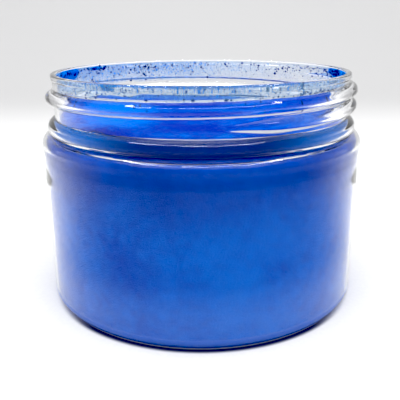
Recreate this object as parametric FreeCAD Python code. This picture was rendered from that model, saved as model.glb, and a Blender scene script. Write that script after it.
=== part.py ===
"""An open, clear, screw-neck jar filled with dry blue pigment.

Units are millimetres and +Z is up. The origin is the middle of the circle that the jar
stands on, so the axis of the jar is the Z axis. Angles go round Z from +X; the front of
the jar is -Y. The jar is one blown moulding, so the ring is hollow and a groove runs round
the bore behind the thread. The pigment lies in it, and a few cakes of pigment stick to the
inside of the neck.
"""
import FreeCAD, Part
import math
import os

V = FreeCAD.Vector

# --- Jar, outside -----------------------------------------------------------------
JAR_HEIGHT = 64.6
BODY_R = 46.1                 # straight wall
BODY_TOP_Z = 35.0             # the straight wall ends here and eases into the waist
WAIST_R = 45.85               # shallow waist just under the shoulder
WAIST_Z = 41.6
SHOULDER_R = 46.25            # widest circle of the round shoulder
SHOULDER_Z = 45.4
SHOULDER_ROUND = 2.95         # radius of the shoulder's round
VALLEY_R = 43.7               # groove between the shoulder and the transfer ring
HEEL_R = 2.6                  # round where the wall meets the base

# --- Jar, neck and thread ---------------------------------------------------------
NECK_R = 42.2                 # outside of the neck, at the root of the thread
NECK_WALL = 1.2               # even wall of the neck, ring and shoulder
BORE_R = NECK_R - NECK_WALL
LIP_R = 42.6                  # rolled lip at the rim
LIP_HEIGHT = 1.5
LIP_STEP = 0.3                # half the height over which the neck swells to the lip
RIM_ROUND = 0.45              # rounding of the rim's outer and inner edge
RING_R = 44.2                 # transfer ring
RING_Z = 50.65
RING_TOP_Z = 52.5
THREAD_CREST_R = 44.4
THREAD_WIDTH = 3.7            # of the round bead, at its root
THREAD_PITCH = 4.18           # rise in one turn, right-handed, one start
THREAD_START_DEG = -84.0      # lower end, near the front
THREAD_END_DEG = 396.0        # upper end, at the back right
THREAD_START_Z = 55.05        # height of the bead's middle at its lower end
THREAD_FADE_DEG = 20.0        # each end sinks into the neck over this angle
THREAD_STEP_DEG = 12.0        # spacing of the sections that the bead is lofted through
THREAD_POINTS = 8             # intervals along the half ellipse of each section
THREAD_EMBED = 0.35           # the bead starts this far inside the neck's wall
THREAD_END_SIZE = 0.35        # width left where an end vanishes, as a part of the whole
GROOVE_WIDTH = 3.0            # of the groove round the bore behind the thread
GROOVE_DEPTH = 1.6

# --- Jar, inside and base ---------------------------------------------------------
WALL = 0.7                    # blown wall of the body
INNER_EASE_Z = 38.0           # the inside eases from the wall to the shoulder above here
BASE_WALL = 0.7
REST_INNER_R = 39.0           # the jar stands on a ring from here out to the heel
PUSH_UP_Z = 2.0               # how far the middle of the base is raised
PUSH_UP_R = 33.0              # the raised middle is flat out to here

# --- Pigment ----------------------------------------------------------------------
POWDER_GAP = 0.12             # between the pigment and the jar's wall
POWDER_LEVEL_Z = 50.6         # mean height of the pigment's top
POWDER_GRID = 13              # points each way through which the top is drawn
# Heaps (positive) and hollows (negative): angle, distance from the axis, height, spread.
POWDER_HEAPS = [
    (160.0, 40.0, 4.2, 15.0),
    (100.0, 42.0, 1.2, 14.0),
    (205.0, 27.0, 2.0, 9.0),
    (52.0, 40.0, 1.0, 9.0),
    (-65.0, 42.0, 1.6, 17.0),
    (-122.0, 42.0, 1.8, 17.0),
    (128.0, 43.0, 0.9, 9.0),
    (20.0, 38.0, -1.0, 12.0),
]

# --- Cakes of pigment stuck inside the neck ---------------------------------------
# Angle and height of the middle, crumbs in the row, their height and their thickness.
CAKES = [
    (175.0, 62.7, 5, 2.6, 0.75),
    (161.0, 63.1, 3, 1.9, 0.55),
    (-2.0, 62.9, 5, 2.5, 0.75),
    (13.0, 63.2, 3, 1.7, 0.55),
    (-121.0, 63.4, 3, 1.6, 0.70),
]
CAKE_GAP = 0.01               # between a cake and the bore that it clings to
CRUMB_CORNERS = 7             # of a crumb's outline
CRUMB_TOP_SIZE = 0.62         # of its flat top, as a part of its foot
CRUMB_WIDTH = 1.3             # as a part of its height
CRUMB_SPACING = 0.66          # as a part of the same
CRUMB_TURN_DEG = 37.0         # each outline is turned on from the one before
CRUMB_ROOT = 0.4              # the foot starts this far outside the bore


def point(r, z):
    return V(r, 0, z)


def line(start, end):
    return Part.LineSegment(point(*start), point(*end)).toShape()


def arc(start, middle, end):
    return Part.Arc(point(*start), point(*middle), point(*end)).toShape()


def round_corner(centre, radius, start_deg, end_deg):
    """Arc of a circle in the half plane, from one angle to another."""
    places = []
    for angle_deg in (start_deg, (start_deg + end_deg) / 2, end_deg):
        angle = math.radians(angle_deg)
        r = centre[0] + radius * math.cos(angle)
        places.append((r, centre[1] + radius * math.sin(angle)))
    return arc(*places)


def ease(start, end, slope):
    """S-shaped curve that leaves start and reaches end along the same slope."""
    spline = Part.BSplineCurve()
    spline.interpolate(
        [point(*start), point(*end)],
        InitialTangent=point(*slope),
        FinalTangent=point(*slope),
    )
    return spline.toShape()


def revolve(edges):
    """The solid of a closed half outline turned once round the jar's axis."""
    face = Part.Face(Part.Wire(edges))
    return face.revolve(V(0, 0, 0), V(0, 0, 1), 360)


def heading(start, end):
    """Angle in degrees of the direction from one point to another."""
    return math.degrees(math.atan2(end[1] - start[1], end[0] - start[0]))


# The shoulder and the ring are round. They meet in the valley.
SHOULDER_CENTRE = (SHOULDER_R - SHOULDER_ROUND, SHOULDER_Z)
VALLEY_DEG = math.degrees(math.acos((VALLEY_R - SHOULDER_CENTRE[0]) / SHOULDER_ROUND))
VALLEY = (VALLEY_R, SHOULDER_Z + SHOULDER_ROUND * math.sin(math.radians(VALLEY_DEG)))
RING_TOP = (NECK_R, RING_TOP_Z)
RING_CIRCLE = Part.Circle(point(*VALLEY), point(RING_R, RING_Z), point(*RING_TOP))
RING_CENTRE = (RING_CIRCLE.Center.x, RING_CIRCLE.Center.z)
RING_ROUND = RING_CIRCLE.Radius


def jar_outside():
    """Edges up the outside, from the raised middle of the base to the top of the lip."""
    up = (0, 1)
    lip_z = JAR_HEIGHT - LIP_HEIGHT
    return [
        line((0, PUSH_UP_Z), (PUSH_UP_R, PUSH_UP_Z)),
        ease((PUSH_UP_R, PUSH_UP_Z), (REST_INNER_R, 0), (1, 0)),
        line((REST_INNER_R, 0), (BODY_R - HEEL_R, 0)),
        round_corner((BODY_R - HEEL_R, HEEL_R), HEEL_R, -90, 0),
        line((BODY_R, HEEL_R), (BODY_R, BODY_TOP_Z)),
        ease((BODY_R, BODY_TOP_Z), (WAIST_R, WAIST_Z), up),
        ease((WAIST_R, WAIST_Z), (SHOULDER_R, SHOULDER_Z), up),
        round_corner(SHOULDER_CENTRE, SHOULDER_ROUND, 0, VALLEY_DEG),
        arc(VALLEY, (RING_R, RING_Z), RING_TOP),
        line(RING_TOP, (NECK_R, lip_z - LIP_STEP)),
        ease((NECK_R, lip_z - LIP_STEP), (LIP_R, lip_z + LIP_STEP), up),
        line((LIP_R, lip_z + LIP_STEP), (LIP_R, JAR_HEIGHT - RIM_ROUND)),
    ]


def jar_rim():
    """Rounded rim, from the lip's outer edge over to the top of the bore."""
    low = JAR_HEIGHT - RIM_ROUND
    outer = LIP_R - RIM_ROUND
    inner = BORE_R + RIM_ROUND
    return [
        round_corner((outer, low), RIM_ROUND, 0, 90),
        line((outer, JAR_HEIGHT), (inner, JAR_HEIGHT)),
        round_corner((inner, low), RIM_ROUND, 90, 180),
    ]


def jar_inside(gap, top_z):
    """Edges down the inside from top_z in the bore to the axis, drawn in by gap. Beside
    the neck, ring and shoulder it runs parallel to the outside."""
    down = (0, -1)
    depth = NECK_WALL + gap
    bore_r = BORE_R - gap
    wall_r = BODY_R - WALL - gap
    shoulder_r = SHOULDER_R - depth
    heel_round = HEEL_R - WALL
    floor_z = BASE_WALL + gap
    middle_z = PUSH_UP_Z + BASE_WALL + gap
    ring_high = heading(RING_CENTRE, RING_TOP)
    ring_low = heading(RING_CENTRE, VALLEY)
    above_ring = ring_high - 180
    under_ring = heading(VALLEY, RING_CENTRE)
    over_shoulder = VALLEY_DEG - 180
    return [
        line((bore_r, top_z), (bore_r, RING_TOP_Z)),
        round_corner(RING_TOP, depth, -180, above_ring),
        round_corner(RING_CENTRE, RING_ROUND - depth, ring_high, ring_low),
        round_corner(VALLEY, depth, under_ring, over_shoulder + 360),
        round_corner(SHOULDER_CENTRE, SHOULDER_ROUND - depth, VALLEY_DEG, 0),
        ease((shoulder_r, SHOULDER_Z), (wall_r, INNER_EASE_Z), down),
        line((wall_r, INNER_EASE_Z), (wall_r, floor_z + heel_round)),
        round_corner((wall_r - heel_round, floor_z + heel_round), heel_round, 0, -90),
        line((wall_r - heel_round, floor_z), (REST_INNER_R, floor_z)),
        ease((REST_INNER_R, floor_z), (PUSH_UP_R, middle_z), (-1, 0)),
        line((PUSH_UP_R, middle_z), (0, middle_z)),
    ]


def thread_section(angle_deg, width, wall_r, crest_r):
    """D-shaped outline of the bead or the groove at one angle of the thread. It starts
    inside wall_r and shrinks back to it at both ends of the thread."""
    from_end = min(angle_deg - THREAD_START_DEG, THREAD_END_DEG - angle_deg)
    fade = min(max(from_end / THREAD_FADE_DEG, 0.0), 1.0)
    size = fade * fade * (3 - 2 * fade)
    z = THREAD_START_Z + THREAD_PITCH * (angle_deg - THREAD_START_DEG) / 360.0
    half_width = width / 2 * (THREAD_END_SIZE + (1 - THREAD_END_SIZE) * size)
    root_r = wall_r - THREAD_EMBED
    end_r = root_r + THREAD_EMBED * THREAD_END_SIZE
    reach = end_r - root_r + (crest_r - end_r) * size
    angle = math.radians(angle_deg)

    def place(r, height):
        return V(r * math.cos(angle), r * math.sin(angle), height)

    # Half an ellipse, as a spline through points on it.
    outline = []
    for step in range(THREAD_POINTS + 1):
        turn = math.pi * (step / THREAD_POINTS - 0.5)
        r = root_r + reach * math.cos(turn)
        outline.append(place(r, z + half_width * math.sin(turn)))
    curve = Part.BSplineCurve()
    curve.interpolate(outline)
    back = Part.LineSegment(outline[-1], outline[0])
    return Part.Wire([curve.toShape(), back.toShape()])


def thread(width, wall_r, crest_r):
    """A D-shaped strip that follows the thread."""
    steps = round((THREAD_END_DEG - THREAD_START_DEG) / THREAD_STEP_DEG)
    angles = [THREAD_START_DEG + THREAD_STEP_DEG * i for i in range(steps + 1)]
    sections = [thread_section(angle, width, wall_r, crest_r) for angle in angles]
    return Part.makeLoft(sections, True, False)


def jar_body():
    axis = line((0, PUSH_UP_Z + BASE_WALL), (0, PUSH_UP_Z))
    inside = jar_inside(0, JAR_HEIGHT - RIM_ROUND)
    blank = revolve(jar_outside() + jar_rim() + inside + [axis])
    bead = thread(THREAD_WIDTH, NECK_R, THREAD_CREST_R)
    groove = thread(GROOVE_WIDTH, BORE_R, BORE_R + GROOVE_DEPTH)
    return blank.fuse(bead).cut(groove).removeSplitter()


def powder_height(x, y):
    height = POWDER_LEVEL_Z
    for angle_deg, distance, rise, spread in POWDER_HEAPS:
        angle = math.radians(angle_deg)
        dx = x - distance * math.cos(angle)
        dy = y - distance * math.sin(angle)
        height += rise * math.exp(-(dx * dx + dy * dy) / (2 * spread * spread))
    return height


def pigment_powder():
    """The space inside the jar, less what lies above the uneven top of the pigment."""
    top = (0, JAR_HEIGHT)
    middle = (0, PUSH_UP_Z + BASE_WALL + POWDER_GAP)
    lid = line(top, (BORE_R - POWDER_GAP, JAR_HEIGHT))
    space = revolve([lid] + jar_inside(POWDER_GAP, JAR_HEIGHT) + [line(middle, top)])
    spacing = 2 * BODY_R / (POWDER_GRID - 1)
    places = [spacing * i - BODY_R for i in range(POWDER_GRID)]
    surface = Part.BSplineSurface()
    surface.interpolate([[V(x, y, powder_height(x, y)) for y in places] for x in places])
    air = surface.toShape().extrude(V(0, 0, JAR_HEIGHT))
    return space.cut(air)


def crumb(angle_deg, z, height, thickness, number):
    """A flat-topped crumb with an uneven outline, reaching in from outside the bore."""
    outlines = []
    for size, r in ((1.0, BORE_R + CRUMB_ROOT), (CRUMB_TOP_SIZE, BORE_R - thickness)):
        corners = []
        for i in range(CRUMB_CORNERS):
            turn = math.radians(360 * i / CRUMB_CORNERS + CRUMB_TURN_DEG * number)
            reach = size * height / 2 * (1 - 0.18 * (i % 3))
            across = CRUMB_WIDTH * reach * math.cos(turn)
            corners.append(V(r, across, z + reach * math.sin(turn)))
        outlines.append(Part.makePolygon(corners + corners[:1]))
    shape = Part.makeLoft(outlines, True, True)
    shape.rotate(V(0, 0, 0), V(0, 0, 1), angle_deg)
    return shape


def cake(angle_deg, z, crumbs, height, thickness):
    """A row of crumbs on the bore, the middle ones largest."""
    row = []
    spacing_deg = math.degrees(CRUMB_SPACING * height / BORE_R)
    for i in range(crumbs):
        from_middle = i - (crumbs - 1) / 2
        size = 1 - 0.5 * (2 * from_middle / crumbs) ** 2
        place_deg = angle_deg + spacing_deg * from_middle
        place_z = z + 0.12 * height * (i % 2)
        row.append(crumb(place_deg, place_z, size * height, size * thickness, i))
    bore = Part.makeCylinder(BORE_R - CAKE_GAP, JAR_HEIGHT)
    return row[0].multiFuse(row[1:]).common(bore)


def pigment_cakes():
    return Part.makeCompound([cake(*values) for values in CAKES])


NODES = {
    "jar_body": jar_body,
    "pigment_powder": pigment_powder,
    "pigment_cakes": pigment_cakes,
}

os.makedirs("parts", exist_ok=True)
for name, make in NODES.items():
    shape = make()
    shape.exportStep(f"parts/{name}.step")
    print(name, "valid", shape.isValid(), "solids", len(shape.Solids),
          "volume", round(shape.Volume, 1), "box", shape.BoundBox)
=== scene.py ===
"""Looks of an open, clear, screw-neck jar filled with dry blue pigment.

Sizes are millimetres until a mesh is made, and metres in Blender. Angles go round Z from
+X; the front of the jar is -Y. The jar's own sizes repeat those of the CAD part.
"""
import math
import random

import bpy
import numpy as np
from mathutils import Matrix, Vector, noise


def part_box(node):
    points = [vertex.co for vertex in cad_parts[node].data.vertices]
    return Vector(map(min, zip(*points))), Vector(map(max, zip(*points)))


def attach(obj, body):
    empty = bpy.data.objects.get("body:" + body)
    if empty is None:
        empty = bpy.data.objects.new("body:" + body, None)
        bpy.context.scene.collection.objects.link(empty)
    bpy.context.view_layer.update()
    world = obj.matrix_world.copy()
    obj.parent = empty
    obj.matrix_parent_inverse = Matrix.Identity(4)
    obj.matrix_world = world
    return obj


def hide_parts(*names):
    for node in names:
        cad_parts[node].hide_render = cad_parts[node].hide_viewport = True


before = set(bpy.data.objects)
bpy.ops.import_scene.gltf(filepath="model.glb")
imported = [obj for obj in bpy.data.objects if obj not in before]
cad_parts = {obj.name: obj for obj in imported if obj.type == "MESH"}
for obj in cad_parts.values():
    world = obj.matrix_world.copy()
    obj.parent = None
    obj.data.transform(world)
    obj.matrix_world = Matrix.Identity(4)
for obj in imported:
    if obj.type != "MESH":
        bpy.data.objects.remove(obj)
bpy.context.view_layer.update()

MM = 0.001

# --- Jar, outside -----------------------------------------------------------------
JAR_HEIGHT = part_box("jar_body")[1][2] / MM
BODY_R = 46.1
BODY_TOP_Z = 35.0
WAIST_R, WAIST_Z = 45.85, 41.6
SHOULDER_R, SHOULDER_Z, SHOULDER_ROUND = 46.25, 45.4, 2.95
VALLEY_R = 43.7
HEEL_R = 2.6

# --- Jar, neck and thread ---------------------------------------------------------
BORE_R = 41.0
NECK_R = 42.2
LIP_R, LIP_HEIGHT, LIP_STEP = 42.6, 1.5, 0.3
RIM_ROUND = 0.45
RING_R, RING_Z, RING_TOP_Z = 44.2, 50.65, 52.5
THREAD_CREST_R, THREAD_WIDTH, THREAD_PITCH = 44.4, 3.7, 4.18
THREAD_START_DEG, THREAD_END_DEG, THREAD_FADE_DEG = -84.0, 396.0, 20.0
THREAD_START_Z = 55.05
THREAD_END_SIZE = 0.35
GROOVE_WIDTH, GROOVE_DEPTH, GROOVE_FADE_DEG = 4.6, 1.6, 50.0
SEAM_DEG, SEAM_HEIGHT, SEAM_WIDTH = (-65.5, 114.5), 0.05, 0.3

# --- Jar, inside and base ---------------------------------------------------------
WALL, NECK_WALL, BASE_WALL = 0.7, 1.2, 0.7
RING_WALL, RING_WALL_LOW_Z, RING_WALL_HIGH_Z = 0.75, 50.5, 52.0
PLASTIC_COLOUR, PLASTIC_IOR = (0.975, 0.983, 1.0), 1.47
INNER_EASE_Z = 38.0
REST_INNER_R, PUSH_UP_Z, PUSH_UP_R = 39.0, 2.0, 33.0

# --- Pigment ----------------------------------------------------------------------
POWDER_GAP, POWDER_PRESS, PRESS_Z = 0.06, 0.05, 3.0
POWDER_LEVEL_Z = 50.6
POWDER_HEAPS = [
    (160.0, 40.0, 4.2, 15.0),
    (100.0, 42.0, 1.2, 14.0),
    (205.0, 27.0, 2.0, 9.0),
    (52.0, 40.0, 1.0, 9.0),
    (-65.0, 42.0, 1.6, 17.0),
    (-122.0, 42.0, 1.8, 17.0),
    (128.0, 43.0, 0.9, 9.0),
    (20.0, 38.0, -1.0, 12.0),
]

# Painted light (positive) on the lit lumps and painted shade (negative) in the hollows of the
# bed's top: x, y, size, change.
TOP_LIGHT_AND_SHADE_SPOTS = [
    (-22.0, -17.0, 17.0, 0.22),
    (0.0, -24.0, 15.0, -0.22),
    (-26.0, -36.0, 13.0, -0.34),
    (24.0, -26.0, 14.0, 0.06),
]

# Darker spots of the bed's side: x, y, z, size, change.
SIDE_SPOTS = [
    (-20.0, -41.0, 23.0, 15.0, -0.14),
    (-16.0, -43.0, 17.0, 10.0, -0.07),
]

# Colours of the bed, each from its darkest to its brightest: the loose top, the side against the
# wall, painted shade on the side's upper part, and painted shade on the pigment in the ring from
# front to flank.
TOP_DARK, TOP_BRIGHT = (0.0, 0.03, 0.42), (0.0, 0.18, 0.80)
SIDE_DARK, SIDE_BRIGHT = (0.0, 0.085, 0.60), (0.0, 0.205, 0.88)
SHADE_DARK, SHADE_BRIGHT = (0.0, 0.06, 0.46), (0.0, 0.10, 0.62)
RING_SHADE_FRONT, RING_SHADE_FLANK = (0.0, 0.035, 0.28), (0.0, 0.20, 0.76)
HEEL_BLUE = (0.07, 0.21, 0.80)
SHADE_LOW_Z, SHADE_HIGH_Z = 24.0, 46.0
TOP_LOW_Z, TOP_HIGH_Z = 48.0, 50.5
HEEL_BLUE_Z, HEEL_BLUE_TOP_Z = 2.6, 3.4
RING_SHADE_R, RING_SHADE_FULL_R = 40.8, 41.3
RING_SHADE_Z, RING_SHADE_FULL_Z = 47.8, 48.7
FLANK_START, FLANK_FULL = 12.0, 34.0

# --- Pigment stuck inside the neck ------------------------------------------------
# Cakes: angle, height, half width and half height in millimetres, grains.
CAKES = [
    (176.0, 62.9, 4.8, 1.5, 420),
    (164.0, 63.2, 3.8, 1.0, 200),
    (148.0, 63.4, 5.0, 0.9, 60),
    (170.0, 62.6, 8.0, 1.9, 0),
    (-3.0, 63.1, 4.6, 1.4, 380),
    (11.0, 63.2, 5.0, 1.2, 120),
    (4.0, 62.8, 7.5, 1.6, 0),
    (-121.0, 63.8, 2.3, 0.6, 120),
]
FILM_R, FILM_THICKNESS = 40.94, 0.03
FILM_LOW_Z, FILM_HIGH_Z = 51.0, 64.1
HALO_TALL = 1.6  # the dust round a cake is this much taller, for its width, than the cake
# The dust thins out over a ragged lower edge, which is higher at the front of the bore.
DUST_EDGE_Z, DUST_EDGE_FULL_Z = 59.2, 60.4
DUST_DENSE_Z, DUST_DENSE_FULL_Z = 60.0, 64.0
DUST_FRONT_RISE, DUST_RAGGED = 3.0, 3.2
DUST_THIN, DUST_THICK = (0.30, 0.66, 0.98), (0.0, 0.27, 0.90)
SPECKS = 760
# Rows of specks: angle, height, half width in degrees, half height, number.
SPECK_ROWS = [
    (-48.0, 61.6, 16.0, 0.45, 60),
    (-28.0, 59.6, 10.0, 0.5, 22),
    (8.0, 63.2, 9.0, 0.8, 70),
    (146.0, 63.5, 8.0, 0.6, 46),
    (120.0, 62.4, 9.0, 0.9, 24),
]

# --- Mesh fineness ----------------------------------------------------------------
TURN_STEPS = 720
NECK_ROW = 0.11
POWDER_TURN_STEPS = 420
POWDER_RINGS = 110


# ==================================================================================
# Outlines
# ==================================================================================
def line(start, end, steps=1):
    return [
        (start[0] + (end[0] - start[0]) * i / steps, start[1] + (end[1] - start[1]) * i / steps)
        for i in range(steps + 1)
    ]


def arc(centre, radius, start_deg, end_deg, steps):
    out = []
    for i in range(steps + 1):
        turn = math.radians(start_deg + (end_deg - start_deg) * i / steps)
        out.append((centre[0] + radius * math.cos(turn), centre[1] + radius * math.sin(turn)))
    return out


def smooth(x):
    x = min(max(x, 0.0), 1.0)
    return x * x * (3 - 2 * x)


def ease_up(start, end, steps):
    """S-shaped curve between two points, level with Z at both ends."""
    out = []
    for i in range(steps + 1):
        part = i / steps
        out.append((
            start[0] + (end[0] - start[0]) * smooth(part),
            start[1] + (end[1] - start[1]) * part,
        ))
    return out


def ease_level(start, end, steps):
    """S-shaped curve between two points, level with R at both ends."""
    out = []
    for i in range(steps + 1):
        part = i / steps
        out.append((
            start[0] + (end[0] - start[0]) * part,
            start[1] + (end[1] - start[1]) * smooth(part),
        ))
    return out


def circle_through(a, b, c):
    """Centre and radius of the circle through three points."""
    ax, ay = a
    bx, by = b
    cx, cy = c
    d = 2 * (ax * (by - cy) + bx * (cy - ay) + cx * (ay - by))
    a2, b2, c2 = ax * ax + ay * ay, bx * bx + by * by, cx * cx + cy * cy
    ux = (a2 * (by - cy) + b2 * (cy - ay) + c2 * (ay - by)) / d
    uy = (a2 * (cx - bx) + b2 * (ax - cx) + c2 * (bx - ax)) / d
    return (ux, uy), math.hypot(ax - ux, ay - uy)


def joined(*pieces):
    """One outline from several, with the points where they meet kept once."""
    out = []
    for piece in pieces:
        for place in piece:
            if not out or math.dist(out[-1], place) > 1e-4:
                out.append(place)
    return out


def jar_outside():
    lip_z = JAR_HEIGHT - LIP_HEIGHT
    shoulder = (SHOULDER_R - SHOULDER_ROUND, SHOULDER_Z)
    valley_deg = math.degrees(math.acos((VALLEY_R - shoulder[0]) / SHOULDER_ROUND))
    valley_z = SHOULDER_Z + SHOULDER_ROUND * math.sin(math.radians(valley_deg))
    ring_centre, ring_round = circle_through(
        (VALLEY_R, valley_z), (RING_R, RING_Z), (NECK_R, RING_TOP_Z)
    )
    low = math.degrees(math.atan2(valley_z - ring_centre[1], VALLEY_R - ring_centre[0]))
    high = math.degrees(math.atan2(RING_TOP_Z - ring_centre[1], NECK_R - ring_centre[0]))
    neck_rows = round((lip_z - LIP_STEP - RING_TOP_Z) / NECK_ROW)
    return joined(
        line((0, PUSH_UP_Z), (PUSH_UP_R, PUSH_UP_Z), 12),
        ease_level((PUSH_UP_R, PUSH_UP_Z), (REST_INNER_R, 0), 14),
        line((REST_INNER_R, 0), (BODY_R - HEEL_R, 0), 3),
        arc((BODY_R - HEEL_R, HEEL_R), HEEL_R, -90, 0, 14),
        line((BODY_R, HEEL_R), (BODY_R, BODY_TOP_Z), 24),
        ease_up((BODY_R, BODY_TOP_Z), (WAIST_R, WAIST_Z), 12),
        ease_up((WAIST_R, WAIST_Z), (SHOULDER_R, SHOULDER_Z), 14),
        arc(shoulder, SHOULDER_ROUND, 0, valley_deg, 24),
        arc(ring_centre, ring_round, low, high, 28),
        line((NECK_R, RING_TOP_Z), (NECK_R, lip_z - LIP_STEP), neck_rows),
        ease_up((NECK_R, lip_z - LIP_STEP), (LIP_R, lip_z + LIP_STEP), 6),
        line((LIP_R, lip_z + LIP_STEP), (LIP_R, JAR_HEIGHT - RIM_ROUND), 3),
        arc((LIP_R - RIM_ROUND, JAR_HEIGHT - RIM_ROUND), RIM_ROUND, 0, 90, 6),
        arc((BORE_R + RIM_ROUND, JAR_HEIGHT - RIM_ROUND), RIM_ROUND, 90, 180, 6),
    )


def jar_below_shoulder(gap, low_gap):
    """Down the inside from the shoulder to the axis, drawn in by gap, and by low_gap at the
    heel and the base."""
    wall_r = BODY_R - WALL - gap
    low_r = BODY_R - WALL - low_gap
    shoulder_r = SHOULDER_R - NECK_WALL - gap
    heel = HEEL_R - WALL
    floor_z = BASE_WALL + low_gap
    middle_z = PUSH_UP_Z + BASE_WALL + low_gap
    return joined(
        ease_up((shoulder_r, SHOULDER_Z), (wall_r, INNER_EASE_Z), 12),
        line((wall_r, INNER_EASE_Z), (wall_r, PRESS_Z), 24),
        line((wall_r, PRESS_Z), (low_r, floor_z + heel), 2),
        arc((low_r - heel, floor_z + heel), heel, 0, -90, 10),
        line((low_r - heel, floor_z), (REST_INNER_R, floor_z), 3),
        ease_level((REST_INNER_R, floor_z), (PUSH_UP_R, middle_z), 14),
        line((PUSH_UP_R, middle_z), (0, middle_z), 10),
    )


# ==================================================================================
# The neck as radius against height and angle
# ==================================================================================
def outside_radius(z):
    """Radius of the outside of the shoulder, ring and neck, with no thread."""
    outline = [p for p in jar_outside() if p[1] >= SHOULDER_Z and p[0] > BORE_R + RIM_ROUND]
    heights = [p[1] for p in outline]
    radii = [p[0] for p in outline]
    return np.interp(z, heights, radii)


def along_thread(angle, z, fade_deg):
    """For each turn that passes an angle: its size there, from 0 at its ends to 1, and how
    far the height z is from its middle."""
    degrees = np.degrees(angle)
    for turns in (-1, 0, 1):
        along = degrees + 360 * turns
        from_end = np.minimum(along - THREAD_START_DEG, THREAD_END_DEG - along)
        fade = np.clip(from_end / fade_deg, 0, 1)
        middle = THREAD_START_Z + THREAD_PITCH * (along - THREAD_START_DEG) / 360
        yield fade * fade * (3 - 2 * fade), np.abs(z - middle)


def thread_radius(angle, z):
    """How far out the round bead of the thread reaches, or 0 away from it."""
    reach = np.zeros(np.shape(angle))
    for size, away in along_thread(angle, z, THREAD_FADE_DEG):
        half = THREAD_WIDTH / 2 * (THREAD_END_SIZE + (1 - THREAD_END_SIZE) * size)
        across = np.clip(away / half, 0, 1)
        bead = NECK_R + (THREAD_CREST_R - NECK_R) * size * (1 - across ** 2.3) ** 0.62
        reach = np.maximum(reach, np.where((size > 0) & (across < 1), bead, 0))
    return reach


def groove_depth(angle, z):
    """Depth of the shallow groove that runs round the bore behind the bead."""
    depth = np.zeros(np.shape(angle))
    for size, away in along_thread(angle, z, GROOVE_FADE_DEG):
        across = np.clip(2 * away / GROOVE_WIDTH, 0, 1)
        depth = np.maximum(depth, GROOVE_DEPTH * size * np.cos(across * np.pi / 2) ** 2)
    return depth


def neck_outside(angle, z):
    return np.maximum(outside_radius(z), thread_radius(angle, z))


def neck_inside(z):
    """Inside radius: parallel to the ring and the shoulder, and the plain bore above. The
    ring is the thinner part."""
    wall = np.interp(z, (RING_WALL_LOW_Z, RING_WALL_HIGH_Z), (NECK_WALL, RING_WALL))
    radius = 1000.0
    for across in np.linspace(-1, 1, 49):
        cover = wall * math.sqrt(1 - across * across)
        radius = np.minimum(radius, outside_radius(z + across * wall) - cover)
    return np.where(z > RING_TOP_Z, BORE_R, np.maximum(radius, BORE_R))


# ==================================================================================
# Meshes
# ==================================================================================
def mesh_object(name, points_mm, faces):
    mesh = bpy.data.meshes.new(name)
    mesh.from_pydata([Vector(p) * MM for p in points_mm], [], faces)
    mesh.shade_smooth()
    mesh.validate()
    mesh.update()
    piece = bpy.data.objects.new(name, mesh)
    bpy.context.collection.objects.link(piece)
    return piece


def turned(name, rows):
    """A closed skin through rings of points. A row is a pair of arrays, radius and
    height at each angle, or a height alone for a point on the axis."""
    steps = max(len(row[0]) for row in rows if isinstance(row, tuple))
    angles = 2 * np.pi * np.arange(steps) / steps
    cosine, sine = np.cos(angles), np.sin(angles)
    points = []
    numbers = []
    for row in rows:
        first = len(points)
        if isinstance(row, tuple):
            points.extend(zip(row[0] * cosine, row[0] * sine, row[1]))
            numbers.append(list(range(first, first + steps)))
        else:
            points.append((0.0, 0.0, row))
            numbers.append([first] * steps)
    faces = []
    for low, high in zip(numbers, numbers[1:]):
        for i in range(steps):
            j = (i + 1) % steps
            faces.append(list(dict.fromkeys([low[i], low[j], high[j], high[i]])))
    return mesh_object(name, points, faces)


def plain_rows(outline, angles):
    """Rows for the stretches of an outline that are round."""
    rows = []
    for r, z in outline:
        if r < 1e-6:
            rows.append(z)
        else:
            rows.append((np.full(len(angles), r), np.full(len(angles), z)))
    return rows


def seam_bulge(angles, r):
    """The fine raised line where the halves of the mould met."""
    bulge = np.zeros(len(angles))
    for seam in SEAM_DEG:
        away = (np.degrees(angles) - seam + 180) % 360 - 180
        bulge += SEAM_HEIGHT * np.exp(-((np.radians(away) * r / SEAM_WIDTH) ** 2))
    return bulge


def make_jar():
    angles = 2 * np.pi * np.arange(TURN_STEPS) / TURN_STEPS
    outline = jar_outside()
    rows = []
    for r, z in outline:
        if r < 1e-6:
            rows.append(z)
            continue
        radii = np.full(TURN_STEPS, r)
        if abs(r - NECK_R) < 1e-6:
            radii = neck_outside(angles, z)
        if SHOULDER_Z < z < JAR_HEIGHT - LIP_HEIGHT and r > NECK_R - 0.1:
            radii = radii + seam_bulge(angles, r)
        rows.append((radii, np.full(TURN_STEPS, z)))
    inner_rows = round((JAR_HEIGHT - RIM_ROUND - SHOULDER_Z) / NECK_ROW)
    for z in np.linspace(JAR_HEIGHT - RIM_ROUND, SHOULDER_Z, inner_rows + 1)[1:-1]:
        rows.append((neck_inside(z) + groove_depth(angles, z), np.full(TURN_STEPS, z)))
    rows += plain_rows(jar_below_shoulder(0, 0), angles)
    return turned("clear_jar", rows)


def powder_height(x, y):
    height = POWDER_LEVEL_Z
    for angle_deg, distance, rise, spread in POWDER_HEAPS:
        angle = math.radians(angle_deg)
        dx = x - distance * math.cos(angle)
        dy = y - distance * math.sin(angle)
        height += rise * math.exp(-(dx * dx + dy * dy) / (2 * spread * spread))
    lumps = noise.fractal(Vector((x, y, 3.0)) * 0.09, 0.8, 2.1, 5)
    grain = noise.fractal(Vector((x, y, 9.0)) * 0.55, 0.7, 2.2, 4)
    return height + 0.8 * lumps + 0.2 * grain


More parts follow.
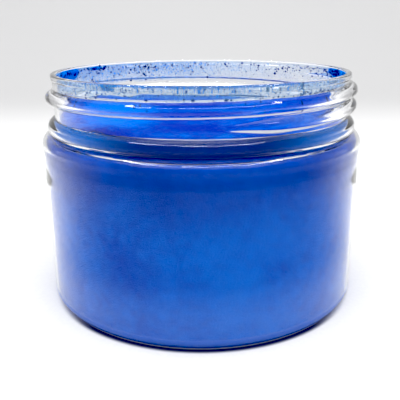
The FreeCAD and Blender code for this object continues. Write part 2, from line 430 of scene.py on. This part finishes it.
def make_powder():
    """The pigment: an uneven top, and sides that follow the jar's inside."""
    steps = POWDER_TURN_STEPS
    angles = 2 * np.pi * np.arange(steps) / steps
    cosine, sine = np.cos(angles), np.sin(angles)
    heights = np.linspace(SHOULDER_Z, JAR_HEIGHT, 240)
    inside = neck_inside(heights) - POWDER_GAP
    edge_r = np.full(steps, BORE_R)
    for _ in range(3):
        edge_z = np.array([powder_height(x, y) for x, y in zip(edge_r * cosine, edge_r * sine)])
        edge_r = np.interp(edge_z, heights, inside)
    rows = [powder_height(0, 0)]
    for i in range(1, POWDER_RINGS + 1):
        radii = edge_r * i / POWDER_RINGS
        places = zip(radii * cosine, radii * sine)
        rows.append((radii, np.array([powder_height(x, y) for x, y in places])))
    side_rows = 24
    for i in range(1, side_rows):
        z = edge_z + (SHOULDER_Z - edge_z) * i / side_rows
        rows.append((np.interp(z, heights, inside), z))
    rows += plain_rows(jar_below_shoulder(POWDER_GAP, -POWDER_PRESS), angles)
    rows.reverse()
    return turned("blue_powder", rows)


def ball_points(centre, size, spin, rough):
    """An uneven low ball: two poles and three rings of six points."""
    points = [(0.0, 0.0, -1.0)]
    for ring in (-0.6, 0.05, 0.65):
        flat = math.sqrt(1 - ring * ring)
        for i in range(6):
            turn = math.tau * (i + spin) / 6
            points.append((flat * math.cos(turn), flat * math.sin(turn), ring))
    points.append((0.0, 0.0, 1.0))
    out = []
    for x, y, z in points:
        reach = 1 + rough * noise.noise(Vector((x, y, z)) * 1.7 + Vector(centre) * 3)
        out.append((x * size[0] * reach, y * size[1] * reach, z * size[2] * reach))
    return out


def ball_faces(first):
    faces = [[first, first + 1 + (i + 1) % 6, first + 1 + i] for i in range(6)]
    for ring in range(2):
        low = first + 1 + 6 * ring
        for i in range(6):
            j = (i + 1) % 6
            faces.append([low + i, low + j, low + 6 + j, low + 6 + i])
    top = first + 19
    faces += [[top, top - 6 + i, top - 6 + (i + 1) % 6] for i in range(6)]
    return faces


def grains(name, places):
    """One mesh of uneven grains. A place is angle, height, radius and half size."""
    points, faces = [], []
    for angle, z, r, half in places:
        first = len(points)
        size = (0.6 * half, half, 0.85 * half)
        for x, y, up in ball_points((angle, z, r), size, 7 * angle, 0.6):
            points.append((
                (r + x) * math.cos(angle) - y * math.sin(angle),
                (r + x) * math.sin(angle) + y * math.cos(angle),
                z + up,
            ))
        faces += ball_faces(first)
    return mesh_object(name, points, faces)


def make_cakes():
    """Clumps of grains on the bore, thickest in the middle."""
    chance = random.Random(5)
    places = []
    for angle_deg, middle_z, half_width, half_height, count in CAKES:
        for _ in range(count):
            across = chance.gauss(0, 0.5)
            up = chance.gauss(0, 0.5)
            away = math.hypot(across, up)
            half = chance.uniform(0.12, 0.32) * max(0.35, 1.1 - 0.5 * away)
            angle = math.radians(angle_deg) + across * half_width / BORE_R
            z = min(middle_z + up * half_height, JAR_HEIGHT - 0.7)
            r = BORE_R - 0.7 * half - 0.3 * chance.random() * max(0.0, 1 - away)
            places.append((angle, z, r, half))
    return grains("caked_grains", places)


def speck_size(chance):
    """Half size of a speck: most are fine, and one in fifteen is coarse."""
    return 0.15 + 0.17 * chance.random() ** 2 + (0.2 if chance.random() > 0.93 else 0)


def make_specks():
    """Single dark grains, most of them near the rim and at the sides."""
    chance = random.Random(11)
    places = []
    while len(places) < SPECKS:
        angle_deg = chance.uniform(-180, 180)
        side = abs(math.cos(math.radians(angle_deg)))
        depth = chance.expovariate(1 / 2.6)
        z = FILM_HIGH_Z - 0.3 - depth
        if z > 56.5 and chance.random() < 0.35 + 0.65 * side:
            places.append((math.radians(angle_deg), z, speck_size(chance)))
    for angle_deg, middle_z, half_width, half_height, count in SPECK_ROWS:
        for _ in range(count):
            angle = math.radians(angle_deg + half_width * chance.gauss(0, 0.5))
            z = min(middle_z + half_height * chance.gauss(0, 0.5), FILM_HIGH_Z)
            places.append((angle, z, speck_size(chance)))
    places = [(angle, z, BORE_R - 0.6 * half - 0.03, half) for angle, z, half in places]
    return grains("pigment_specks", places)


def make_film():
    """A thin closed skin of dust on the bore."""
    steps = 360
    rows = []
    for z in np.linspace(FILM_HIGH_Z, FILM_LOW_Z, 40):
        rows.append((np.full(steps, FILM_R), np.full(steps, z)))
    for z in np.linspace(FILM_LOW_Z, FILM_HIGH_Z, 40):
        rows.append((np.full(steps, FILM_R - FILM_THICKNESS), np.full(steps, z)))
    rows.append(rows[0])
    return turned("dust_film", rows)


# ==================================================================================
# Materials
# ==================================================================================
def new_material(name):
    material = bpy.data.materials.new(name)
    material.use_nodes = True
    tree = material.node_tree
    return material, tree, tree.nodes["Principled BSDF"]


def node(tree, kind, **values):
    """A shader node. Names that it has are set on it, and the others on its sockets."""
    out = tree.nodes.new(kind)
    for key, value in values.items():
        if hasattr(out, key):
            setattr(out, key, value)
        else:
            out.inputs[key.replace("_", " ")].default_value = value
    return out


def math_node(tree, operation, first, second=0.0, third=0.0, clamp=False):
    out = node(tree, "ShaderNodeMath", operation=operation, use_clamp=clamp)
    for socket, value in zip(out.inputs, (first, second, third)):
        if isinstance(value, (int, float)):
            socket.default_value = value
        else:
            tree.links.new(value, socket)
    return out.outputs[0]


def ramp(tree, value, low, high, to_low=0.0, to_high=1.0):
    """Smooth step of a value between two limits."""
    out = node(tree, "ShaderNodeMapRange", interpolation_type="SMOOTHSTEP")
    tree.links.new(value, out.inputs["Value"])
    out.inputs["From Min"].default_value = low
    out.inputs["From Max"].default_value = high
    out.inputs["To Min"].default_value = to_low
    out.inputs["To Max"].default_value = to_high
    return out.outputs["Result"]


def noise_value(tree, place, per_metre, detail=4.0, roughness=0.6):
    out = node(tree, "ShaderNodeTexNoise", Scale=per_metre, Detail=detail, Roughness=roughness)
    tree.links.new(place, out.inputs["Vector"])
    return out.outputs["Fac"]


def blend(tree, factor, first, second):
    """Colour between two, each a colour or a socket."""
    out = node(tree, "ShaderNodeMix", data_type="RGBA")
    tree.links.new(factor, out.inputs["Factor"])
    for socket, value in ((out.inputs[6], first), (out.inputs[7], second)):
        if isinstance(value, tuple):
            socket.default_value = (*value, 1)
        else:
            tree.links.new(value, socket)
    return out.outputs[2]


def object_place(tree):
    return tree.nodes.new("ShaderNodeTexCoord").outputs["Object"]


def add_bump(tree, bsdf, height, strength, distance):
    bump = node(tree, "ShaderNodeBump", Strength=strength, Distance=distance)
    tree.links.new(height, bump.inputs["Height"])
    tree.links.new(bump.outputs["Normal"], bsdf.inputs["Normal"])


def distance_from(tree, place, point):
    """Distance of a place from a fixed point, which is in metres."""
    away = node(tree, "ShaderNodeVectorMath", operation="DISTANCE")
    tree.links.new(place, away.inputs[0])
    away.inputs[1].default_value = point
    return away.outputs["Value"]


def add_spots(tree, place, value, spots):
    """Raises or lowers a value round each spot: x, y, z, size, change."""
    for x, y, z, size, change in spots:
        away = distance_from(tree, place, (x * MM, y * MM, z * MM))
        near = ramp(tree, away, size * MM, 0.0)
        value = math_node(tree, "MULTIPLY_ADD", near, change, value)
    return value


def clear_plastic():
    material, tree, bsdf = new_material("clear_plastic")
    place = object_place(tree)
    bsdf.inputs["Base Color"].default_value = (*PLASTIC_COLOUR, 1)
    bsdf.inputs["Transmission Weight"].default_value = 1.0
    bsdf.inputs["IOR"].default_value = PLASTIC_IOR
    scuffs = ramp(tree, noise_value(tree, place, 260.0, 6.0, 0.7), 0.56, 0.74, 0.0, 0.10)
    tree.links.new(scuffs, bsdf.inputs["Roughness"])
    waves = noise_value(tree, place, 90.0, 2.0, 0.4)
    add_bump(tree, bsdf, waves, 0.06, 0.00025)
    return material


def pigment(name, dark, bright, grain):
    material, tree, bsdf = new_material(name)
    place = object_place(tree)
    broad = noise_value(tree, place, 55.0, 3.0, 0.55)
    fine = noise_value(tree, place, grain, 4.0, 0.75)
    mixed = math_node(tree, "MULTIPLY_ADD", broad, 0.55, math_node(tree, "MULTIPLY", fine, 0.45))
    colour = blend(tree, ramp(tree, mixed, 0.34, 0.66), dark, bright)
    tree.links.new(colour, bsdf.inputs["Base Color"])
    bsdf.inputs["Roughness"].default_value = 1.0
    bsdf.inputs["Specular IOR Level"].default_value = 0.0
    add_bump(tree, bsdf, fine, 0.5, 0.00025)
    return material


def powder_blue():
    """The bed's loose top is bright. What lies against the wall looks darker, with painted shade
    on its upper part, and the pigment in the ring has painted shade, darkest at the front and the
    back."""
    material, tree, bsdf = new_material("blue_pigment")
    place = object_place(tree)
    split = node(tree, "ShaderNodeSeparateXYZ")
    tree.links.new(place, split.inputs[0])
    x, y, z = split.outputs
    square = math_node(tree, "MULTIPLY_ADD", x, x, math_node(tree, "MULTIPLY", y, y))
    radius = math_node(tree, "SQRT", square)
    broad = noise_value(tree, place, 60.0, 3.0, 0.55)
    middle = noise_value(tree, place, 420.0, 3.0, 0.6)
    fine = noise_value(tree, place, 1500.0, 4.0, 0.75)
    mixed = math_node(tree, "MULTIPLY_ADD", middle, 0.3, math_node(tree, "MULTIPLY", fine, 0.25))
    mixed = math_node(tree, "MULTIPLY_ADD", broad, 0.45, mixed)
    # Painted light on the lit lumps and painted shade in the hollows of the bed's top.
    top_light_and_shade_spots = [(*spot[:2], POWDER_LEVEL_Z, *spot[2:]) for spot in TOP_LIGHT_AND_SHADE_SPOTS]
    loose = add_spots(tree, place, mixed, top_light_and_shade_spots)
    top = blend(tree, ramp(tree, loose, 0.36, 0.72), TOP_DARK, TOP_BRIGHT)
    side_spotted = add_spots(tree, place, mixed, SIDE_SPOTS)
    side = blend(tree, ramp(tree, side_spotted, 0.24, 0.66), SIDE_DARK, SIDE_BRIGHT)
    shade = blend(tree, ramp(tree, mixed, 0.36, 0.66), SHADE_DARK, SHADE_BRIGHT)
    side = blend(tree, ramp(tree, z, SHADE_LOW_Z * MM, SHADE_HIGH_Z * MM), side, shade)
    colour = blend(tree, ramp(tree, z, TOP_LOW_Z * MM, TOP_HIGH_Z * MM), side, top)
    heel = ramp(tree, z, HEEL_BLUE_TOP_Z * MM, HEEL_BLUE_Z * MM)
    colour = blend(tree, heel, colour, HEEL_BLUE)
    # Painted shade on the pigment in the ring: darkest at the front and the back, lighter on the
    # flanks.
    outer = ramp(tree, radius, RING_SHADE_R * MM, RING_SHADE_FULL_R * MM)
    upper = ramp(tree, z, RING_SHADE_Z * MM, RING_SHADE_FULL_Z * MM)
    ring_shade = math_node(tree, "MULTIPLY", outer, upper)
    aside = math_node(tree, "ABSOLUTE", x)
    flank = ramp(tree, aside, FLANK_START * MM, FLANK_FULL * MM)
    colour = blend(tree, ring_shade, colour, blend(tree, flank, RING_SHADE_FRONT, RING_SHADE_FLANK))
    tree.links.new(colour, bsdf.inputs["Base Color"])
    bsdf.inputs["Roughness"].default_value = 1.0
    bsdf.inputs["Specular IOR Level"].default_value = 0.0
    add_bump(tree, bsdf, fine, 0.5, 0.00025)
    return material


def film():
    """Dust: dense at the rim and beside the cakes, thin lower down, streaked upright."""
    material, tree, bsdf = new_material("pigment_dust")
    place = object_place(tree)
    split = node(tree, "ShaderNodeSeparateXYZ")
    tree.links.new(place, split.inputs[0])
    z = split.outputs["Z"]
    squash = node(tree, "ShaderNodeMapping", Scale=(1.0, 1.0, 0.45))
    tree.links.new(place, squash.inputs["Vector"])
    streaks = noise_value(tree, squash.outputs[0], 2600.0, 4.0, 0.8)
    clouds = noise_value(tree, place, 130.0, 4.0, 0.6)
    specks = noise_value(tree, place, 1500.0, 3.0, 0.7)
    front = ramp(tree, split.outputs["Y"], 0.0, -0.020)
    low = math_node(tree, "MULTIPLY_ADD", front, -DUST_FRONT_RISE * MM, z)
    ragged = math_node(tree, "MULTIPLY_ADD", clouds, DUST_RAGGED * MM, low)
    high = ramp(tree, ragged, DUST_DENSE_Z * MM, DUST_DENSE_FULL_Z * MM)
    cover = math_node(tree, "MULTIPLY_ADD", high, 0.20, 0.20)
    edge = ramp(tree, ragged, DUST_EDGE_Z * MM, DUST_EDGE_FULL_Z * MM)
    cover = math_node(tree, "MULTIPLY", cover, edge)
    cloudy = math_node(tree, "MULTIPLY", clouds, 0.7)
    texture = math_node(tree, "MULTIPLY_ADD", streaks, 1.7, cloudy)
    texture = math_node(tree, "SUBTRACT", texture, 0.2)
    cover = math_node(tree, "MULTIPLY", cover, texture)
    back = math_node(tree, "MULTIPLY", ramp(tree, split.outputs["X"], -0.020, 0.035),
                     ramp(tree, split.outputs["Y"], 0.0, 0.020))
    cover = math_node(tree, "MULTIPLY", cover, math_node(tree, "MULTIPLY_ADD", back, -0.75, 1.0))
    dense = ramp(tree, specks, 0.56, 0.66)
    cover = math_node(tree, "MULTIPLY_ADD", dense, math_node(tree, "MULTIPLY", cover, 1.6), cover)
    for angle_deg, middle_z, half_width, half_height, _ in CAKES:
        angle = math.radians(angle_deg)
        x, y = FILM_R * math.cos(angle), FILM_R * math.sin(angle)
        flat = half_width / half_height / HALO_TALL
        stretch = node(tree, "ShaderNodeMapping", Scale=(1, 1, flat))
        tree.links.new(place, stretch.inputs["Vector"])
        middle = (x * MM, y * MM, middle_z * MM * flat)
        away = distance_from(tree, stretch.outputs[0], middle)
        rough = math_node(tree, "MULTIPLY_ADD", clouds, 0.006, away)
        near = ramp(tree, rough, half_width * MM * 1.5, half_width * MM * 0.9)
        cover = math_node(tree, "MAXIMUM", cover, math_node(tree, "MULTIPLY", near, 0.85))
    colour = blend(tree, ramp(tree, cover, 0.25, 0.8), DUST_THIN, DUST_THICK)
    tree.links.new(colour, bsdf.inputs["Base Color"])
    tree.links.new(math_node(tree, "MULTIPLY", cover, 1.0, clamp=True), bsdf.inputs["Alpha"])
    bsdf.inputs["Roughness"].default_value = 1.0
    bsdf.inputs["Specular IOR Level"].default_value = 0.0
    return material


def floor_material():
    material, tree, bsdf = new_material("white_table")
    place = object_place(tree)
    fibres = noise_value(tree, place, 700.0, 5.0, 0.65)
    colour = blend(tree, ramp(tree, fibres, 0.35, 0.65), (0.94, 0.94, 0.94), (0.97, 0.97, 0.97))
    split = node(tree, "ShaderNodeSeparateXYZ")
    tree.links.new(place, split.inputs[0])
    x, y, _ = split.outputs
    far = ramp(tree, y, BACKDROP_NEAR * MM, BACKDROP_FAR * MM)
    colour = blend(tree, far, colour, BACKDROP_GREY)
    # Painted contact shadow round the jar's foot, strongest in front and behind.
    square = math_node(tree, "MULTIPLY_ADD", x, x, math_node(tree, "MULTIPLY", y, y))
    radius = math_node(tree, "SQRT", square)
    outer = ramp(tree, radius, CONTACT_SHADOW_R * MM, (CONTACT_SHADOW_R - CONTACT_SHADOW_SOFT) * MM)
    inner = ramp(tree, radius, CONTACT_SHADOW_INNER_R * MM, (CONTACT_SHADOW_INNER_R + 0.5) * MM)
    band = math_node(tree, "MULTIPLY", outer, inner)
    aside = math_node(tree, "ABSOLUTE", x)
    front = ramp(tree, aside, CONTACT_SHADOW_END * MM, CONTACT_SHADOW_FULL * MM)
    band = math_node(tree, "MULTIPLY", band, front)
    colour = blend(tree, band, colour, CONTACT_SHADOW_COLOUR)
    tree.links.new(colour, bsdf.inputs["Base Color"])
    bsdf.inputs["Roughness"].default_value = 0.85
    bsdf.inputs["Specular IOR Level"].default_value = 0.2
    add_bump(tree, bsdf, fibres, 0.1, 0.0001)
    return material


# ==================================================================================
# Stage
# ==================================================================================
CAMERA_PLACE = (0.0, -163.79, 78.33)
CAMERA_DOWN_DEG = 18.13
CAMERA_ROLL_DEG = -0.37
CAMERA_YAW_DEG = 0.17
CAMERA_LENS = 49.5
WORLD_STRENGTH = 1.0
OVERHEAD_PLACE, OVERHEAD_TARGET = (0, -60, 700), (0, 0, 50)
OVERHEAD_SIZE, OVERHEAD_POWER = (900, 700), 3.6
BLACK_LEVEL = 0.040


def make_camera():
    data = bpy.data.cameras.new("camera")
    data.lens = CAMERA_LENS
    data.sensor_width = 36.0
    camera = bpy.data.objects.new("camera", data)
    bpy.context.collection.objects.link(camera)
    turn = Matrix.Rotation(math.radians(CAMERA_YAW_DEG), 4, "Z")
    tilt = Matrix.Rotation(math.radians(90 - CAMERA_DOWN_DEG), 4, "X")
    roll = Matrix.Rotation(math.radians(CAMERA_ROLL_DEG), 4, "Z")
    camera.matrix_world = Matrix.Translation(Vector(CAMERA_PLACE) * MM) @ turn @ tilt @ roll
    bpy.context.scene.camera = camera


FLOOR_HALF, SWEEP_START, SWEEP_ROUND = 1500, 420.0, 500.0
BACKDROP_NEAR, BACKDROP_FAR = 90.0, 420.0
BACKDROP_GREY = (0.66, 0.66, 0.665)
# A painted contact shadow: a dark band on the table round the jar's foot, fading out to the
# sides.
CONTACT_SHADOW_R, CONTACT_SHADOW_SOFT, CONTACT_SHADOW_INNER_R = 47.0, 1.4, 44.4
CONTACT_SHADOW_FULL, CONTACT_SHADOW_END = 28.0, 44.0
CONTACT_SHADOW_COLOUR = (0.06, 0.07, 0.16)
SCREEN_NEAR, SCREEN_FULL, SCREEN_FAR, SCREEN_TOP = 52.0, 82.0, 300.0, 520.0
SCREEN_WIDE_DEG, SCREEN_SOFT, SCREEN_TURN_DEG = 110.0, 0.50, 5.0
RING_LIGHT_R, RING_LIGHT_WIDTH, RING_LIGHT_Z, RING_LIGHT_STRENGTH = 245.0, 30.0, 480.0, 24.0


def make_floor():
    """A table top that curves up behind the jar into a backdrop."""
    outline = line((-FLOOR_HALF, 0), (SWEEP_START, 0), 24)
    outline += arc((SWEEP_START, SWEEP_ROUND), SWEEP_ROUND, -90, 0, 24)[1:]
    outline += line(outline[-1], (outline[-1][0], FLOOR_HALF), 6)[1:]
    points = []
    for y, z in outline:
        points += [(-FLOOR_HALF, y, z), (FLOOR_HALF, y, z)]
    faces = [[2 * i, 2 * i + 1, 2 * i + 3, 2 * i + 2] for i in range(len(outline) - 1)]
    floor = mesh_object("floor", points, faces)
    floor.data.materials.append(floor_material())


def turned_band(name, outline):
    """An open surface: an outline of (radius, height) turned once round the jar's axis."""
    steps = 96
    points = []
    for r, z in outline:
        for i in range(steps):
            angle = 2 * math.pi * i / steps
            points.append((r * math.cos(angle), r * math.sin(angle), z))
    faces = []
    for row in range(len(outline) - 1):
        for i in range(steps):
            low, across = row * steps, (i + 1) % steps
            faces.append([low + i, low + across, low + across + steps, low + i + steps])
    return mesh_object(name, points, faces)


def only_in_reflections(piece):
    piece.visible_camera = False
    piece.visible_diffuse = False
    piece.visible_transmission = False
    piece.visible_shadow = False


def make_screen():
    """A dark screen round the jar, seen only in reflections: a fan lying on the table, a
    curved wall and a roof. Low down it stands only in front, and its ends are soft."""
    outline = line((SCREEN_NEAR, 1), (SCREEN_FAR, 1), 12)
    outline += line((SCREEN_FAR, 1), (SCREEN_FAR, SCREEN_TOP), 12)[1:]
    outline += line((SCREEN_FAR, SCREEN_TOP), (4, SCREEN_TOP), 12)[1:]
    screen = turned_band("dark_screen", outline)
    material, tree, bsdf = new_material("dark_screen")
    split = node(tree, "ShaderNodeSeparateXYZ")
    tree.links.new(object_place(tree), split.inputs[0])
    x, y, z = split.outputs
    turn = math_node(tree, "ARCTAN2", x, math_node(tree, "MULTIPLY", y, -1.0))
    turn = math_node(tree, "SUBTRACT", turn, math.radians(SCREEN_TURN_DEG))
    turn = math_node(tree, "ABSOLUTE", turn)
    wide = math.radians(SCREEN_WIDE_DEG)
    front = ramp(tree, turn, wide, wide * SCREEN_SOFT)
    high = ramp(tree, z, SCREEN_TOP * MM * 0.2, SCREEN_TOP * MM * 0.45)
    square = math_node(tree, "MULTIPLY_ADD", x, x, math_node(tree, "MULTIPLY", y, y))
    near = ramp(tree, math_node(tree, "SQRT", square), SCREEN_NEAR * MM, SCREEN_FULL * MM)
    low = math_node(tree, "MULTIPLY", front, near)
    tree.links.new(math_node(tree, "MAXIMUM", low, high), bsdf.inputs["Alpha"])
    bsdf.inputs["Base Color"].default_value = (0.01, 0.01, 0.012, 1)
    bsdf.inputs["Roughness"].default_value = 1.0
    bsdf.inputs["Specular IOR Level"].default_value = 0.0
    screen.data.materials.append(material)
    only_in_reflections(screen)


def make_ring_light():
    """A thin bright ring above the jar, seen only in reflections."""
    half = RING_LIGHT_WIDTH / 2
    outline = [(RING_LIGHT_R - half, RING_LIGHT_Z), (RING_LIGHT_R + half, RING_LIGHT_Z)]
    light = turned_band("ring_light", outline)
    material, _, bsdf = new_material("ring_light")
    bsdf.inputs["Base Color"].default_value = (0, 0, 0, 1)
    bsdf.inputs["Emission Color"].default_value = (1, 1, 1, 1)
    bsdf.inputs["Emission Strength"].default_value = RING_LIGHT_STRENGTH
    light.data.materials.append(material)
    only_in_reflections(light)


def make_world():
    world = bpy.data.worlds.new("studio")
    bpy.context.scene.world = world
    world.use_nodes = True
    background = world.node_tree.nodes["Background"]
    background.inputs["Color"].default_value = (1, 1, 1, 1)
    background.inputs["Strength"].default_value = WORLD_STRENGTH


def area_light(name, place, target, size, power):
    data = bpy.data.lights.new(name, "AREA")
    data.shape = "RECTANGLE"
    data.size, data.size_y = size[0] * MM, size[1] * MM
    data.energy = power
    light = bpy.data.objects.new(name, data)
    bpy.context.collection.objects.link(light)
    light.location = Vector(place) * MM
    direction = Vector(target) - Vector(place)
    light.rotation_euler = direction.to_track_quat("-Z", "Y").to_euler()


# ==================================================================================
# The scene
# ==================================================================================
view = bpy.context.scene.view_settings
view.view_transform = "Standard"
view.use_curve_mapping = True
view.curve_mapping.black_level = (BLACK_LEVEL, BLACK_LEVEL, BLACK_LEVEL)
make_camera()
make_floor()
make_screen()
make_ring_light()
make_world()
area_light("overhead", OVERHEAD_PLACE, OVERHEAD_TARGET, OVERHEAD_SIZE, OVERHEAD_POWER)


def finished(piece, material, replaced=None):
    piece.data.materials.append(material)
    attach(piece, "root")
    if replaced:
        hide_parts(replaced)


cake_blue = pigment("caked_pigment", (0.0, 0.20, 0.85), (0.04, 0.42, 1.0), 2500.0)
speck_blue = pigment("pigment_specks", (0.0, 0.02, 0.14), (0.0, 0.07, 0.42), 2500.0)

finished(make_jar(), clear_plastic(), "jar_body")
finished(make_powder(), powder_blue(), "pigment_powder")
finished(make_cakes(), cake_blue, "pigment_cakes")
finished(make_specks(), speck_blue)
finished(make_film(), film())
